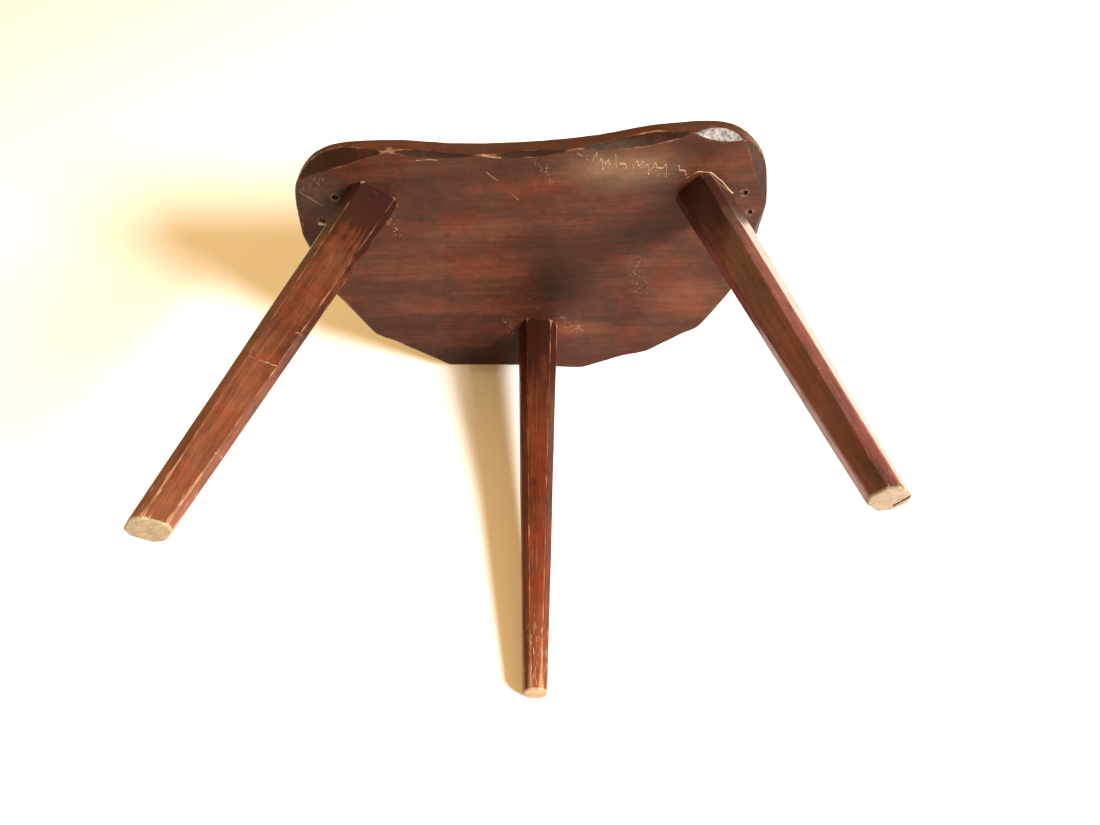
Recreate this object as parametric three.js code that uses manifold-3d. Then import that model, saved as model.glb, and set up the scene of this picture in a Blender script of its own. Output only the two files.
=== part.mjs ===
// Three leg stool: a plank seat with three shaved octagonal legs, each held by a wedged through tenon.
// Millimetres, +Z up, standing on its feet. The nearly straight rear edge faces -Y, the rounded front +Y.
import * as THREE from 'three';
import { mergeVertices } from 'three/addons/utils/BufferGeometryUtils.js';
import Module from 'manifold-3d';

// Driving dimensions
const SEAT_HALF_WIDTH = 179;
const SEAT_THICKNESS = 18;
const SEAT_HEIGHT = 321;
const UNDERSIDE_Z = SEAT_HEIGHT - SEAT_THICKNESS;
const TOP_ARRIS = 3.5;
const TOP_ARRIS_SEGMENTS = 3;
const OUTLINE_STEPS = 156;
const SLAB_SIZE = 1000;
const GAP = 0.3;
const MERGE_DISTANCE = 1e-4;

// Joints
const TENON_RADIUS = 12;
const TENON_SEGMENTS = 40;
const TENON_ROOT = 20;
const TENON_OVERRUN = 18;
const WEDGE_DEPTH = 13;
const WEDGE_BLANK_LENGTH = 48;
const WEDGE_TOP_THICKNESS = 3.2;
const WEDGE_TIP_THICKNESS = 0.8;
const KERF_EXTRA_DEPTH = 1.5;
const KERF_OVERRUN = 5;

// Legs run on past both ends before they are trimmed level
const LEG_OVERRUN = 30;

// Gouged facets on the underside arris
const FACET_TILT = Math.PI / 4;
const FACET_CUTTER_WIDTH = 40;
const FACET_CUTTER_SEGMENTS = 160;

// Peg holes on the underside
const PEG_HOLE_RADIUS = 2.2;
const PEG_HOLE_DEPTH = 3;

// Half of the seat's plan, from the middle of the rear edge round the right lobe to the middle of the front
const HALF_OUTLINE = [
  [0, -115],
  [50, -117],
  [100, -123],
  [149, -119.5],
  [173, -96.5],
  [SEAT_HALF_WIDTH, -58],
  [176, -17.5],
  [165, 19],
  [147, 55],
  [121, 83],
  [85.5, 101],
  [43, 111],
  [0, 113.5],
];

// Where each leg's axis meets the underside and the floor, its turn about the axis, and at both ends the
// width across its four broad faces and across the four narrower faces that cut the corners
const LEGS = [
  { side: 'left', joint: [-121.5, -78.5], foot: [-181.5, -114], turn: 0.672,
    broad: { top: 34.6, bottom: 20.1 }, narrow: { top: 42.6, bottom: 22.1 } },
  { side: 'right', joint: [130, -69.7], foot: [172, -113], turn: 0.796,
    broad: { top: 32.7, bottom: 18.5 }, narrow: { top: 39.1, bottom: 19.7 } },
  { side: 'front', joint: [-3.7, 64], foot: [-10.4, 115], turn: 0.139,
    broad: { top: 32.8, bottom: 17 }, narrow: { top: 38, bottom: 17.4 } },
];

// Cusps between the gouged facets, anticlockwise from the rear left, each with the dip of the facet after it
const CUSPS = [
  { at: [-99, -123], dip: 3.2 },
  { at: [-29, -116], dip: 3.2 },
  { at: [35, -116], dip: 3.8 },
  { at: [119, -123], dip: 2.2 },
  { at: [156, -115], dip: 0.3 },
  { at: [178.5, -60], dip: 1.8 },
  { at: [166.5, 17], dip: 0.3 },
  { at: [136.5, 69.5], dip: 0.1 },
  { at: [130, 71.2], dip: 0.1 },
  { at: [119, 77.3], dip: 0.2 },
  { at: [93, 94], dip: 0.3 },
  { at: [57, 103.7], dip: 0.2 },
  { at: [45, 110.4], dip: 0.1 },
  { at: [35.5, 111.6], dip: 0.9 },
  { at: [-87, 98.7], dip: 0.4 },
  { at: [-136.5, 61.6], dip: 0.1 },
  { at: [-143.5, 58.8], dip: 0.3 },
  { at: [-172, -2], dip: 1.6 },
  { at: [-179, -56], dip: 1.0 },
  { at: [-168, -105], dip: 0.8 },
];

const PEG_HOLE_SEGMENTS = 16;
const PEG_HOLES = [[-145, -87], [-160, -67], [161, -71], [167, -53]];

const wasm = await Module();
wasm.setup();

function solid(geometry) {
  const bare = geometry.index ? geometry.toNonIndexed() : geometry.clone();
  bare.deleteAttribute('normal');
  bare.deleteAttribute('uv');
  const merged = mergeVertices(bare, MERGE_DISTANCE);
  return new wasm.Manifold(new wasm.Mesh({
    numProp: 3,
    vertProperties: new Float32Array(merged.attributes.position.array),
    triVerts: new Uint32Array(merged.index.array),
  }));
}

function toGeometry(manifold) {
  const mesh = manifold.getMesh();
  const geometry = new THREE.BufferGeometry();
  geometry.setAttribute('position', new THREE.BufferAttribute(new Float32Array(mesh.vertProperties), 3));
  geometry.setIndex(new THREE.BufferAttribute(new Uint32Array(mesh.triVerts), 1));
  return geometry;
}

// A block that holds everything above (or below) a level, for trimming a piece flat
function slab(level, above) {
  const box = new THREE.BoxGeometry(SLAB_SIZE, SLAB_SIZE, SLAB_SIZE);
  box.translate(0, 0, above ? level + SLAB_SIZE / 2 : level - SLAB_SIZE / 2);
  return solid(box);
}

function seatOutline() {
  const right = HALF_OUTLINE.map(([x, y]) => new THREE.Vector3(x, y, 0));
  const left = HALF_OUTLINE.slice(1, -1).reverse().map(([x, y]) => new THREE.Vector3(-x, y, 0));
  return new THREE.CatmullRomCurve3([...right, ...left], true, 'centripetal');
}

// The plank: its top arris is rounded by the bevel, and the lower bevel is trimmed off
function seatBlank() {
  const points = seatOutline().getSpacedPoints(OUTLINE_STEPS).slice(0, -1);
  const shape = new THREE.Shape(points.map((p) => new THREE.Vector2(p.x, p.y)));
  const plank = new THREE.ExtrudeGeometry(shape, {
    depth: SEAT_THICKNESS,
    bevelEnabled: true,
    bevelThickness: TOP_ARRIS,
    bevelSize: TOP_ARRIS,
    bevelOffset: -TOP_ARRIS,
    bevelSegments: TOP_ARRIS_SEGMENTS,
  });
  plank.translate(0, 0, -TOP_ARRIS);
  return solid(plank).subtract(slab(0, false));
}

// A drum whose rim shaves the underside arris between two cusps, tilted half way between down and outward
function facetCutter(from, to, dip) {
  const start = new THREE.Vector3(...from, 0);
  const end = new THREE.Vector3(...to, 0);
  const along = end.clone().sub(start);
  const halfChord = along.length() / 2;
  along.normalize();
  const outward = new THREE.Vector3(along.y, -along.x, 0);
  const down = new THREE.Vector3(0, 0, -1);
  const normal = outward.multiplyScalar(Math.cos(FACET_TILT)).addScaledVector(down, Math.sin(FACET_TILT));
  const across = new THREE.Vector3().crossVectors(along, normal);
  const radius = (halfChord ** 2 + dip ** 2) / (2 * dip);
  const drum = new THREE.CylinderGeometry(radius, radius, FACET_CUTTER_WIDTH, FACET_CUTTER_SEGMENTS);
  const centre = start.add(end).multiplyScalar(0.5).addScaledVector(normal, radius - dip);
  drum.applyMatrix4(new THREE.Matrix4().makeBasis(normal, across, along).setPosition(centre));
  return solid(drum);
}

// Direction from the foot up to the joint
function legAxis(leg) {
  const joint = new THREE.Vector3(...leg.joint, UNDERSIDE_Z);
  const foot = new THREE.Vector3(...leg.foot, 0);
  return joint.sub(foot);
}

// Turns a shape that stands along +Y onto a leg's axis, with its middle at a distance above the joint
function alignToLeg(geometry, leg, middle) {
  const axis = legAxis(leg).normalize();
  const sideways = new THREE.Vector3().crossVectors(axis, new THREE.Vector3(0, 1, 0)).normalize();
  const facing = new THREE.Vector3().crossVectors(sideways, axis);
  geometry.applyMatrix4(new THREE.Matrix4().makeBasis(sideways, axis, facing));
  geometry.translate(axis.x * middle, axis.y * middle, axis.z * middle);
  return geometry;
}

// One square bar that tapers from the joint to the floor
function taperedBar(leg, width, turn) {
  const length = legAxis(leg).length();
  const taper = (width.top - width.bottom) / length;
  const cornerRadius = (across) => across / Math.SQRT2;
  const bar = new THREE.CylinderGeometry(
    cornerRadius(width.top + taper * LEG_OVERRUN),
    cornerRadius(width.bottom - taper * LEG_OVERRUN),
    length + 2 * LEG_OVERRUN, 4);
  bar.rotateY(Math.PI / 4 + turn);
  return solid(alignToLeg(bar, leg, -length / 2));
}

function tenonRod(leg, radius) {
  const length = TENON_ROOT + SEAT_THICKNESS + TENON_OVERRUN;
  const rod = new THREE.CylinderGeometry(radius, radius, length, TENON_SEGMENTS);
  return solid(alignToLeg(rod, leg, length / 2 - TENON_ROOT));
}

// The wedge's slice along Y, across the seat's grain: thick at the top of the seat, thin at its tip
function wedgeBlank(leg, clearance, depth, overrun) {
  const top = SEAT_THICKNESS + overrun;
  const slope = (WEDGE_TOP_THICKNESS - WEDGE_TIP_THICKNESS) / WEDGE_DEPTH;
  const halfAt = (z) => WEDGE_TOP_THICKNESS / 2 - ((SEAT_THICKNESS - z) * slope) / 2 + clearance;
  const bottom = SEAT_THICKNESS - depth;
  const section = new THREE.Shape([
    new THREE.Vector2(-halfAt(bottom), bottom),
    new THREE.Vector2(halfAt(bottom), bottom),
    new THREE.Vector2(halfAt(top), top),
    new THREE.Vector2(-halfAt(top), top),
  ]);
  const slice = new THREE.ExtrudeGeometry(section, { depth: WEDGE_BLANK_LENGTH, bevelEnabled: false });
  slice.translate(0, 0, -WEDGE_BLANK_LENGTH / 2);
  slice.rotateX(Math.PI / 2);
  const axis = legAxis(leg);
  const lean = new THREE.Matrix4().set(
    1, 0, axis.x / axis.z, 0,
    0, 1, axis.y / axis.z, 0,
    0, 0, 1, 0,
    0, 0, 0, 1);
  slice.applyMatrix4(lean);
  return solid(slice);
}

function legSolid(leg) {
  const square = taperedBar(leg, leg.broad, leg.turn);
  const corners = taperedBar(leg, leg.narrow, leg.turn + Math.PI / 4);
  const shaft = square.intersect(corners).subtract(slab(-GAP, true)).subtract(slab(-UNDERSIDE_Z, false));
  const tenon = tenonRod(leg, TENON_RADIUS).subtract(slab(SEAT_THICKNESS, true));
  const kerf = wedgeBlank(leg, GAP, WEDGE_DEPTH + KERF_EXTRA_DEPTH, KERF_OVERRUN);
  return shaft.add(tenon).subtract(kerf);
}

function wedgeSolid(leg) {
  return wedgeBlank(leg, 0, WEDGE_DEPTH, 0).intersect(tenonRod(leg, TENON_RADIUS));
}

function seatSolid() {
  let seat = seatBlank();
  CUSPS.forEach((cusp, i) => {
    const next = CUSPS[(i + 1) % CUSPS.length];
    seat = seat.subtract(facetCutter(cusp.at, next.at, cusp.dip));
  });
  for (const leg of LEGS) {
    seat = seat.subtract(tenonRod(leg, TENON_RADIUS + GAP).translate([...leg.joint, 0]));
  }
  for (const [x, y] of PEG_HOLES) {
    const hole = new THREE.CylinderGeometry(PEG_HOLE_RADIUS, PEG_HOLE_RADIUS, PEG_HOLE_DEPTH * 2,
      PEG_HOLE_SEGMENTS);
    hole.rotateX(Math.PI / 2);
    hole.translate(x, y, 0);
    seat = seat.subtract(solid(hole));
  }
  return seat;
}

const seatWood = new THREE.MeshStandardMaterial({ color: 0x6b4029, roughness: 0.42, metalness: 0 });
const legWood = new THREE.MeshStandardMaterial({ color: 0x8a5234, roughness: 0.48, metalness: 0 });
const wedgeWood = new THREE.MeshStandardMaterial({ color: 0xa9794f, roughness: 0.6, metalness: 0 });

function piece(name, manifold, material, x, y) {
  const mesh = new THREE.Mesh(toGeometry(manifold), material);
  mesh.name = name;
  mesh.position.set(x, y, UNDERSIDE_Z);
  return mesh;
}

const stool = new THREE.Group();
stool.add(piece('seat', seatSolid(), seatWood, 0, 0));
for (const leg of LEGS) {
  stool.add(piece(`leg_${leg.side}`, legSolid(leg), legWood, ...leg.joint));
  stool.add(piece(`wedge_${leg.side}`, wedgeSolid(leg), wedgeWood, ...leg.joint));
}

// The frame's origin is the middle of the stool's own footprint
const bounds = new THREE.Box3().setFromObject(stool);
const middle = bounds.getCenter(new THREE.Vector3());
stool.position.set(-middle.x, -middle.y, -bounds.min.z);
stool.updateMatrixWorld(true);

export default stool;
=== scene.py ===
"""Looks of the three leg stool: varnished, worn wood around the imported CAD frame. Units are metres."""

import math
from functools import partial, reduce

import bmesh
import bpy
import numpy as np
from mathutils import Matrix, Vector, noise
from mathutils.bvhtree import BVHTree


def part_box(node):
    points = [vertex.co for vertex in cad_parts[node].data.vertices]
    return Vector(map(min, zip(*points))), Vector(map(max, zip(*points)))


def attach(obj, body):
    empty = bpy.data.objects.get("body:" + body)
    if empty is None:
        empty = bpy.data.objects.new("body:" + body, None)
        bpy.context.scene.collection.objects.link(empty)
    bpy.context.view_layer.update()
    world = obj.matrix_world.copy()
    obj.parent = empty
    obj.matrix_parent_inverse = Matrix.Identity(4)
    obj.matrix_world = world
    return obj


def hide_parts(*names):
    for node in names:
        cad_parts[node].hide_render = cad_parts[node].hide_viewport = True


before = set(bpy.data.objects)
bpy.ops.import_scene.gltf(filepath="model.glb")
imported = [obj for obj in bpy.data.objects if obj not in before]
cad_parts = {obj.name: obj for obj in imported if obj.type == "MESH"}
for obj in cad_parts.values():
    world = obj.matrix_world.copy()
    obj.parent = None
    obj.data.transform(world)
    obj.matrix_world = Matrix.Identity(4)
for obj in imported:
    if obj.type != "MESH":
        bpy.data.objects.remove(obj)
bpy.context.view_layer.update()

MM = 0.001
BODY = "root"
SIDES = ("left", "right", "front")

SEAT_LOW, SEAT_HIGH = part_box("seat")
UNDERSIDE = SEAT_LOW.z
TOP = SEAT_HIGH.z
TENON_RADIUS = 12 * MM
TOP_ARRIS = 3.5 * MM
LEVEL_SLACK = 0.05 * MM
SMOOTH_ANGLE = math.radians(38)

# Peg holes in the underside: their middles in plan (mm) and their radius
PEG_HOLES = ((-139.5, -86.3), (-154.5, -66.3), (166.5, -70.3), (172.5, -52.3))
PEG_HOLE_RADIUS = 2.2 * MM

# ---- frame readings


def cad_points(node):
    """Every vertex of a CAD node, as rows of x, y, z."""
    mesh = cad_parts[node].data
    points = np.zeros(len(mesh.vertices) * 3)
    mesh.vertices.foreach_get("co", points)
    return points.reshape(-1, 3)


def in_peg_hole(place):
    """Whether a place is on the wall or the bottom of a peg hole."""
    reach = PEG_HOLE_RADIUS + 0.3 * MM
    return any(math.hypot(place.x - x * MM, place.y - y * MM) < reach for x, y in PEG_HOLES)


def seat_tree():
    """A ray casting tree of the CAD seat without its peg holes."""
    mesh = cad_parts["seat"].data
    places = [v.co for v in mesh.vertices]
    kept = [p.vertices for p in mesh.polygons if not all(in_peg_hole(places[v]) for v in p.vertices)]
    return BVHTree.FromPolygons(places, kept)


def unit_rows(rows):
    return rows / np.linalg.norm(rows, axis=1)[:, None]


def corner_ring(node, level, inner_radius):
    """The corners of a leg's section at a level, in order round the section, farther out than a radius."""
    points = cad_points(node)
    near = points[np.abs(points[:, 2] - level) < LEVEL_SLACK]
    near = np.unique(np.round(near, 6), axis=0)
    middle = (near.max(0) + near.min(0)) / 2
    out = near[np.linalg.norm(near[:, :2] - middle[:2], axis=1) > inner_radius]
    turn = np.arctan2(out[:, 1] - middle[1], out[:, 0] - middle[0])
    return out[np.argsort(turn)]


def align_rings(lower, upper):
    """Rolls the upper ring so that its corners stand over the lower ring's."""
    low, high = (unit_rows(ring[:, :2] - ring[:, :2].mean(0)) for ring in (lower, upper))
    rolls = [float((low * np.roll(high, k, axis=0)).sum()) for k in range(len(upper))]
    return np.roll(upper, int(np.argmax(rolls)), axis=0)


def leg_corners(side):
    """A leg's corners at the floor and at its shoulder, in the same order, and the shoulder's level."""
    node = "leg_" + side
    foot = corner_ring(node, 0.0, 1 * MM)
    levels = cad_points(node)[:, 2]
    shoulder_z = levels[levels < UNDERSIDE].max()
    shoulder = corner_ring(node, shoulder_z, TENON_RADIUS + 1.5 * MM)
    return foot, align_rings(foot, shoulder), shoulder_z


def tenon_middle(side):
    """The middle of a tenon's end, level with the top of the seat."""
    ring = corner_ring("leg_" + side, TOP, 1 * MM)
    return (ring.max(0) + ring.min(0)) / 2


# ---- mesh helpers


def in_scene(name, data):
    """A new object in the scene, made of a mesh, a light or a camera."""
    obj = bpy.data.objects.new(name, data)
    bpy.context.scene.collection.objects.link(obj)
    return obj


def new_object(name, points, faces):
    mesh = bpy.data.meshes.new(name)
    mesh.from_pydata([tuple(p) for p in points], [], faces)
    return in_scene(name, mesh)


def closed_from_rings(name, rings, attributes):
    """A closed mesh from rings that run from one pole to the other, with a point at each pole."""
    around = len(rings[0])
    points = [rings[0].mean(0)] + [p for ring in rings for p in ring] + [rings[-1].mean(0)]
    last = 1 + (len(rings) - 1) * around
    end = len(points) - 1
    faces = []
    for first in range(1, last, around):
        for k in range(around):
            a, b = first + k, first + (k + 1) % around
            faces.append((a, b, b + around, a + around))
    for k in range(around):
        n = (k + 1) % around
        faces.append((0, 1 + n, 1 + k))
        faces.append((end, last + k, last + n))
    obj = new_object(name, points, faces)
    for key, per_ring in attributes.items():
        flat = np.concatenate([[per_ring[0].mean()], np.concatenate(per_ring), [per_ring[-1].mean()]])
        attribute = obj.data.attributes.new(key, "FLOAT", "POINT")
        attribute.data.foreach_set("value", flat.astype(np.float32))
    obj.data.validate()
    return obj


def face_outward(obj):
    """Turns the faces of a closed mesh outward."""
    work = bmesh.new()
    work.from_mesh(obj.data)
    bmesh.ops.recalc_face_normals(work, faces=work.faces)
    work.to_mesh(obj.data)
    work.free()


def cut(obj, cutters):
    """Cuts closed cutter objects out of obj, and deletes them."""
    for cutter in cutters:
        face_outward(cutter)
        step = obj.modifiers.new("cut", "BOOLEAN")
        step.operation = "DIFFERENCE"
        step.solver = "MANIFOLD"
        step.object = cutter
    depsgraph = bpy.context.evaluated_depsgraph_get()
    done = bpy.data.meshes.new_from_object(obj.evaluated_get(depsgraph))
    obj.modifiers.clear()
    old = obj.data
    obj.data = done
    bpy.data.meshes.remove(old)
    for cutter in cutters:
        bpy.data.objects.remove(cutter)


def at_level(plan, z):
    """Points of a plan, all at one level."""
    return np.column_stack([plan, np.full(len(plan), z)])


def circle(middle, radius, turn, z):
    """Points of a level circle at the given turns."""
    x, y = middle[0] + radius * np.cos(turn), middle[1] + radius * np.sin(turn)
    return at_level(np.stack([x, y], axis=1), z)


def rod(name, centre, axis, radius, low, high, sides):
    """A closed round rod along a tilted axis, between two levels."""
    turn = np.linspace(0, 2 * math.pi, sides, endpoint=False)
    rings = [circle(centre + axis * ((z - centre.z) / axis.z), radius, turn, z) for z in (low, high)]
    return closed_from_rings(name, rings, {})


def shrunk(ring, share):
    """A ring drawn in toward its own middle."""
    middle = ring.mean(0)
    return middle + (ring - middle) * share


def smooth_shade(obj):
    obj.data.shade_smooth()
    obj.data.set_sharp_from_angle(angle=SMOOTH_ANGLE)


def wobble(points, size, seed, amount):
    """Smooth random values at points: one number each, with features of about one size."""
    shift = Vector((seed * 17.3, seed * 5.1, seed * 11.7))
    return np.array([noise.noise(Vector(p) / size + shift) for p in points]) * amount


# ---- legs

CORNER_STEPS = 5
FACE_STEPS = 7
LEG_STEPS = 150
LEG_SEEDS = {"left": 3, "right": 10, "front": 17}

# Wear of the arrises: their radius, how much it wanders, and how far the wear of a foot reaches up
ARRIS_RADIUS = 1 * MM
ARRIS_WANDER = 0.5
FOOT_WEAR = {"left": 0.5, "right": 0.35, "front": 1.0}
FOOT_WEAR_REACH = 45 * MM
FOOT_POLISH_REACH = 30 * MM
SHOULDER_WEAR_REACH = 3 * MM

# Unevenness left by the drawknife: size and depth of the hollows and of the ripples
HOLLOW_SIZE, HOLLOW_DEPTH = 18 * MM, 0.22 * MM
RIPPLE_SIZE, RIPPLE_DEPTH = 5 * MM, 0.07 * MM

# The sawn sole: how far it is drawn in, the levels and insets of its arris, and the size of its chips
SOLE_INSET = 0.9 * MM
SOLE_SHARES = (0.15, 0.35, 0.55, 0.75, 0.9, 1.0)
SOLE_ARRIS = ((0.25 * MM, 0.35 * MM), (0.7 * MM, 0.08 * MM))
CHIP_SIZE, CHIP_DEPTH = 2.4 * MM, 0.5 * MM
SOLE_RADIUS = 10 * MM
SHAFT_START = 1.5 * MM
END_FADE = 3.5 * MM

# Levels up the tenon and how far each is drawn in
TENON_LEVELS = (
    (UNDERSIDE + 0.1 * MM, 0), (UNDERSIDE + 6 * MM, 0), (TOP - 0.5 * MM, 0), (TOP - 0.05 * MM, 0.5 * MM))
LID_SHARES = (0.8, 0.6, 0.4, 0.2)


def worn_section(corners, radii):
    """A section polygon with each corner rounded, its wear (1 on an arris) and its outward directions."""
    points, wear = [], []
    count = len(corners)
    for k in range(count):
        here, after = corners[k], corners[(k + 1) % count]
        before = corners[(k - 1) % count]
        back = (before - here) / np.linalg.norm(before - here)
        ahead = (after - here) / np.linalg.norm(after - here)
        start, stop = here + back * radii[k], here + ahead * radii[k]
        for s in np.linspace(0, 1, CORNER_STEPS):
            points.append((1 - s) ** 2 * start + 2 * s * (1 - s) * here + s * s * stop)
            wear.append(1.0 - 1.1 * abs(s - 0.5))
        far = after - ahead * radii[(k + 1) % count]
        for s in np.linspace(0, 1, FACE_STEPS + 2)[1:-1]:
            points.append(stop + (far - stop) * s)
            edge = min(s, 1 - s) * np.linalg.norm(far - stop)
            wear.append(max(0.0, 0.35 - edge / (4 * MM)))
    points = np.array(points)
    return points, np.array(wear), unit_rows(points - points.mean(0))


class LegShape:
    """A leg's tapering section between its foot and its shoulder, worn and a little uneven."""

    def __init__(self, side):
        self.foot, self.shoulder, self.shoulder_z = leg_corners(side)
        self.seed = LEG_SEEDS[side]
        self.foot_wear = FOOT_WEAR[side]

    def at(self, z, inset=0.0):
        """The ring at a level and the wear at each of its points."""
        t = z / self.shoulder_z
        corners = self.foot + (self.shoulder - self.foot) * t
        near_foot = math.exp(-z / FOOT_WEAR_REACH) * self.foot_wear
        radii = []
        for k in range(len(corners)):
            wander = noise.noise(Vector((k * 3.7 + self.seed, t * 7.0, 0.0)))
            radii.append((1 + ARRIS_WANDER * wander + near_foot) * ARRIS_RADIUS)
        points, wear, outward = worn_section(corners, radii)
        hollow = wobble(points * np.array([1, 1, 0.3]), HOLLOW_SIZE, self.seed, HOLLOW_DEPTH)
        ripple = wobble(points * np.array([1, 1, 0.6]), RIPPLE_SIZE, self.seed + 3, RIPPLE_DEPTH)
        points = points + outward * (hollow + ripple - inset)[:, None]
        points[:, 2] = z
        return points, wear


def leg_mesh(side):
    """A shaved octagonal leg, lofted between the CAD leg's foot and shoulder, with its round tenon."""
    shape = LegShape(side)
    around = len(shape.foot) * (CORNER_STEPS + FACE_STEPS)
    none, full = np.zeros(around), np.ones(around)

    # the sawn end, from its middle out to the chipped arris
    sole = shape.at(0.0, SOLE_INSET)[0]
    layers = [(shrunk(sole, share), none, full) for share in SOLE_SHARES]
    for z, inset in SOLE_ARRIS:
        ring = shape.at(z, inset)[0]
        chips = np.maximum(wobble(ring, CHIP_SIZE, shape.seed + 9, 1.0), 0.0) * CHIP_DEPTH
        ring = ring + (sole.mean(0) - ring) * (chips / SOLE_RADIUS)[:, None]
        ring[:, 2] = z
        layers.append((ring, full, full * 0.95))

    # the shaft
    for z in np.linspace(SHAFT_START, UNDERSIDE, LEG_STEPS + 1):
        ring, wear = shape.at(z)
        low = math.exp(-z / FOOT_POLISH_REACH)
        high = math.exp(-(UNDERSIDE - z) / SHOULDER_WEAR_REACH)
        wear = np.clip(wear * (0.75 + 0.5 * low) + 0.25 * low * shape.foot_wear + 0.7 * high, 0, 1)
        layers.append((ring, wear, full * max(0.0, 0.9 - z / END_FADE)))

    # the shoulder and the tenon, which goes through the seat
    foot_middle, shoulder_middle = shape.foot.mean(0), shape.shoulder.mean(0)
    axis = Vector(shoulder_middle - foot_middle)
    out = ring - shoulder_middle
    turn = np.arctan2(out[:, 1], out[:, 0])
    for z, inset in TENON_LEVELS:
        middle = tenon_middle(side) + np.array(axis) * ((z - TOP) / axis.z)
        layers.append((circle(middle, TENON_RADIUS - inset, turn, z), none, full if inset else none))
    lid = layers[-1][0]
    layers += [(shrunk(lid, share), none, full) for share in LID_SHARES]
    rings, wears, ends = zip(*layers)
    obj = closed_from_rings(f"shaved_leg_{side}", rings, {"wear": wears, "end": ends})
    face_outward(obj)
    return obj, Vector(foot_middle), axis.normalized()


# The split in the right leg's foot: its ends in plan (mm), its width at the floor, its height and its lean
FOOT_CRACK = ((180.6, -107.2), (188.6, -117.8))
FOOT_CRACK_WIDTH = 1.1 * MM
FOOT_CRACK_HEIGHT = 13 * MM
FOOT_CRACK_LEAN = (-0.10, 0.10, 1.0)


def crack_cutter():
    """A thin wedge that opens a short split across the right leg's foot, near its outer edge."""
    start, stop = (Vector((x * MM, y * MM, -1 * MM)) for x, y in FOOT_CRACK)
    along = (stop - start).normalized()
    aside = Vector((along.y, -along.x, 0)) * FOOT_CRACK_WIDTH / 2
    up = Vector(FOOT_CRACK_LEAN) * FOOT_CRACK_HEIGHT
    corners = [start - aside, start + aside, stop + aside, stop - aside, start + up, stop + up]
    return new_object("crack", corners, [(0, 1, 2, 3), (0, 3, 5, 4), (1, 4, 5, 2), (0, 4, 1), (3, 2, 5)])


# ---- wedges

WEDGE_LEVELS = 14
WEDGE_ARC = 9
WEDGE_TRIM = 0.25 * MM
KERF_SLACK = 0.12 * MM


def wedge_ends(side):
    """The CAD wedge's points at its tip and at its top, and its box."""
    low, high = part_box("wedge_" + side)
    points = cad_points("wedge_" + side)
    tips = points[points[:, 2] < low.z + 0.1 * MM]
    tops = points[points[:, 2] > high.z - 0.1 * MM]
    return tips, tops, low, high


def kerf_cutter(side):
    """A tapered slice a little wider than the CAD wedge, which opens the tenon's kerf."""
    tips, tops, low, high = wedge_ends(side)
    y0, y1 = low.y - 4 * MM, high.y + 4 * MM
    rings = []
    for ring, z in ((tips, low.z - 1 * MM), (tops, TOP + 1 * MM)):
        x0, x1 = ring[:, 0].min() - KERF_SLACK, ring[:, 0].max() + KERF_SLACK
        rings.append(np.array([[x0, y0, z], [x1, y0, z], [x1, y1, z], [x0, y1, z]]))
    return closed_from_rings("kerf", rings, {})


def wedge_mesh(side):
    """A riven wedge: its faces follow the CAD wedge's taper and its edges the round of the tenon."""
    tips, tops, low, high = wedge_ends(side)
    rings, wears = [], []
    for t in np.linspace(0, 1, WEDGE_LEVELS):
        z = low.z + (high.z - low.z) * t
        start = tips.min(0) * (1 - t) + tops.min(0) * t
        stop = tips.max(0) * (1 - t) + tops.max(0) * t
        middle = (start + stop) / 2
        half, reach = (stop[0] - start[0]) / 2, (stop[1] - start[1]) / 2
        at_top = t > 0.99
        trim = WEDGE_TRIM if at_top else 0.0
        ring = []
        for sign in (1, -1):
            for s in np.linspace(1, -1, WEDGE_ARC):
                x = sign * s * (half - trim)
                y = sign * (math.sqrt(max(reach ** 2 - x ** 2, 0.0)) - trim)
                ring.append((middle[0] + x, middle[1] + y, z))
        ring = np.array(ring)
        rough = wobble(ring, 3 * MM, 61, 0.06 * MM)
        ring[:, 0] += rough * np.sign(middle[0] - ring[:, 0])
        rings.append(ring)
        wears.append(np.full(len(ring), 0.3 if at_top else 0.0))
    obj = closed_from_rings(f"riven_wedge_{side}", rings, {"wear": wears})
    face_outward(obj)
    smooth_shade(obj)
    return obj


# ---- seat

OUTLINE_STEPS = 800
RIM_INSET = 13 * MM
RIM_STEPS = 52
PLATE_RINGS = 16
THICKNESS = TOP - UNDERSIDE

# A gouged facet counts as full at this depth, and a bend this strong counts as an arris
FACET_DEPTH = 0.7 * MM
ARRIS_BEND = 0.22 * MM

# Small dents of the rim: size, seed and depth
RIM_DENTS = ((9 * MM, 41, 0.28 * MM), (3.2 * MM, 43, 0.12 * MM))


def smoothed(values):
    """Each value drawn half way toward the mean of its two neighbours along the first axis."""
    return values * 0.5 + (np.roll(values, 1, axis=0) + np.roll(values, -1, axis=0)) * 0.25


def seat_outline(tree):
    """The plank's plan from the CAD seat's vertical side, as evenly spaced points and outward directions."""
    edge = []
    for turn in np.linspace(0, 2 * math.pi, 2 * OUTLINE_STEPS, endpoint=False):
        far = Vector((math.cos(turn), math.sin(turn), 0))
        hit = tree.ray_cast(far + Vector((0, 0, TOP - TOP_ARRIS - 0.5 * MM)), -far)[0]
        edge.append(hit.xy)
    edge = np.array(edge)
    closed = np.vstack([edge, edge[:1]])
    length = np.concatenate([[0], np.cumsum(np.linalg.norm(np.diff(closed, axis=0), axis=1))])
    at = np.linspace(0, length[-1], OUTLINE_STEPS, endpoint=False)
    even = np.stack([np.interp(at, length, closed[:, i]) for i in range(2)], axis=1)
    even = smoothed(smoothed(even))
    along = np.roll(even, -1, axis=0) - np.roll(even, 1, axis=0)
    return even, unit_rows(np.stack([along[:, 1], -along[:, 0]], axis=1))


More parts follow.
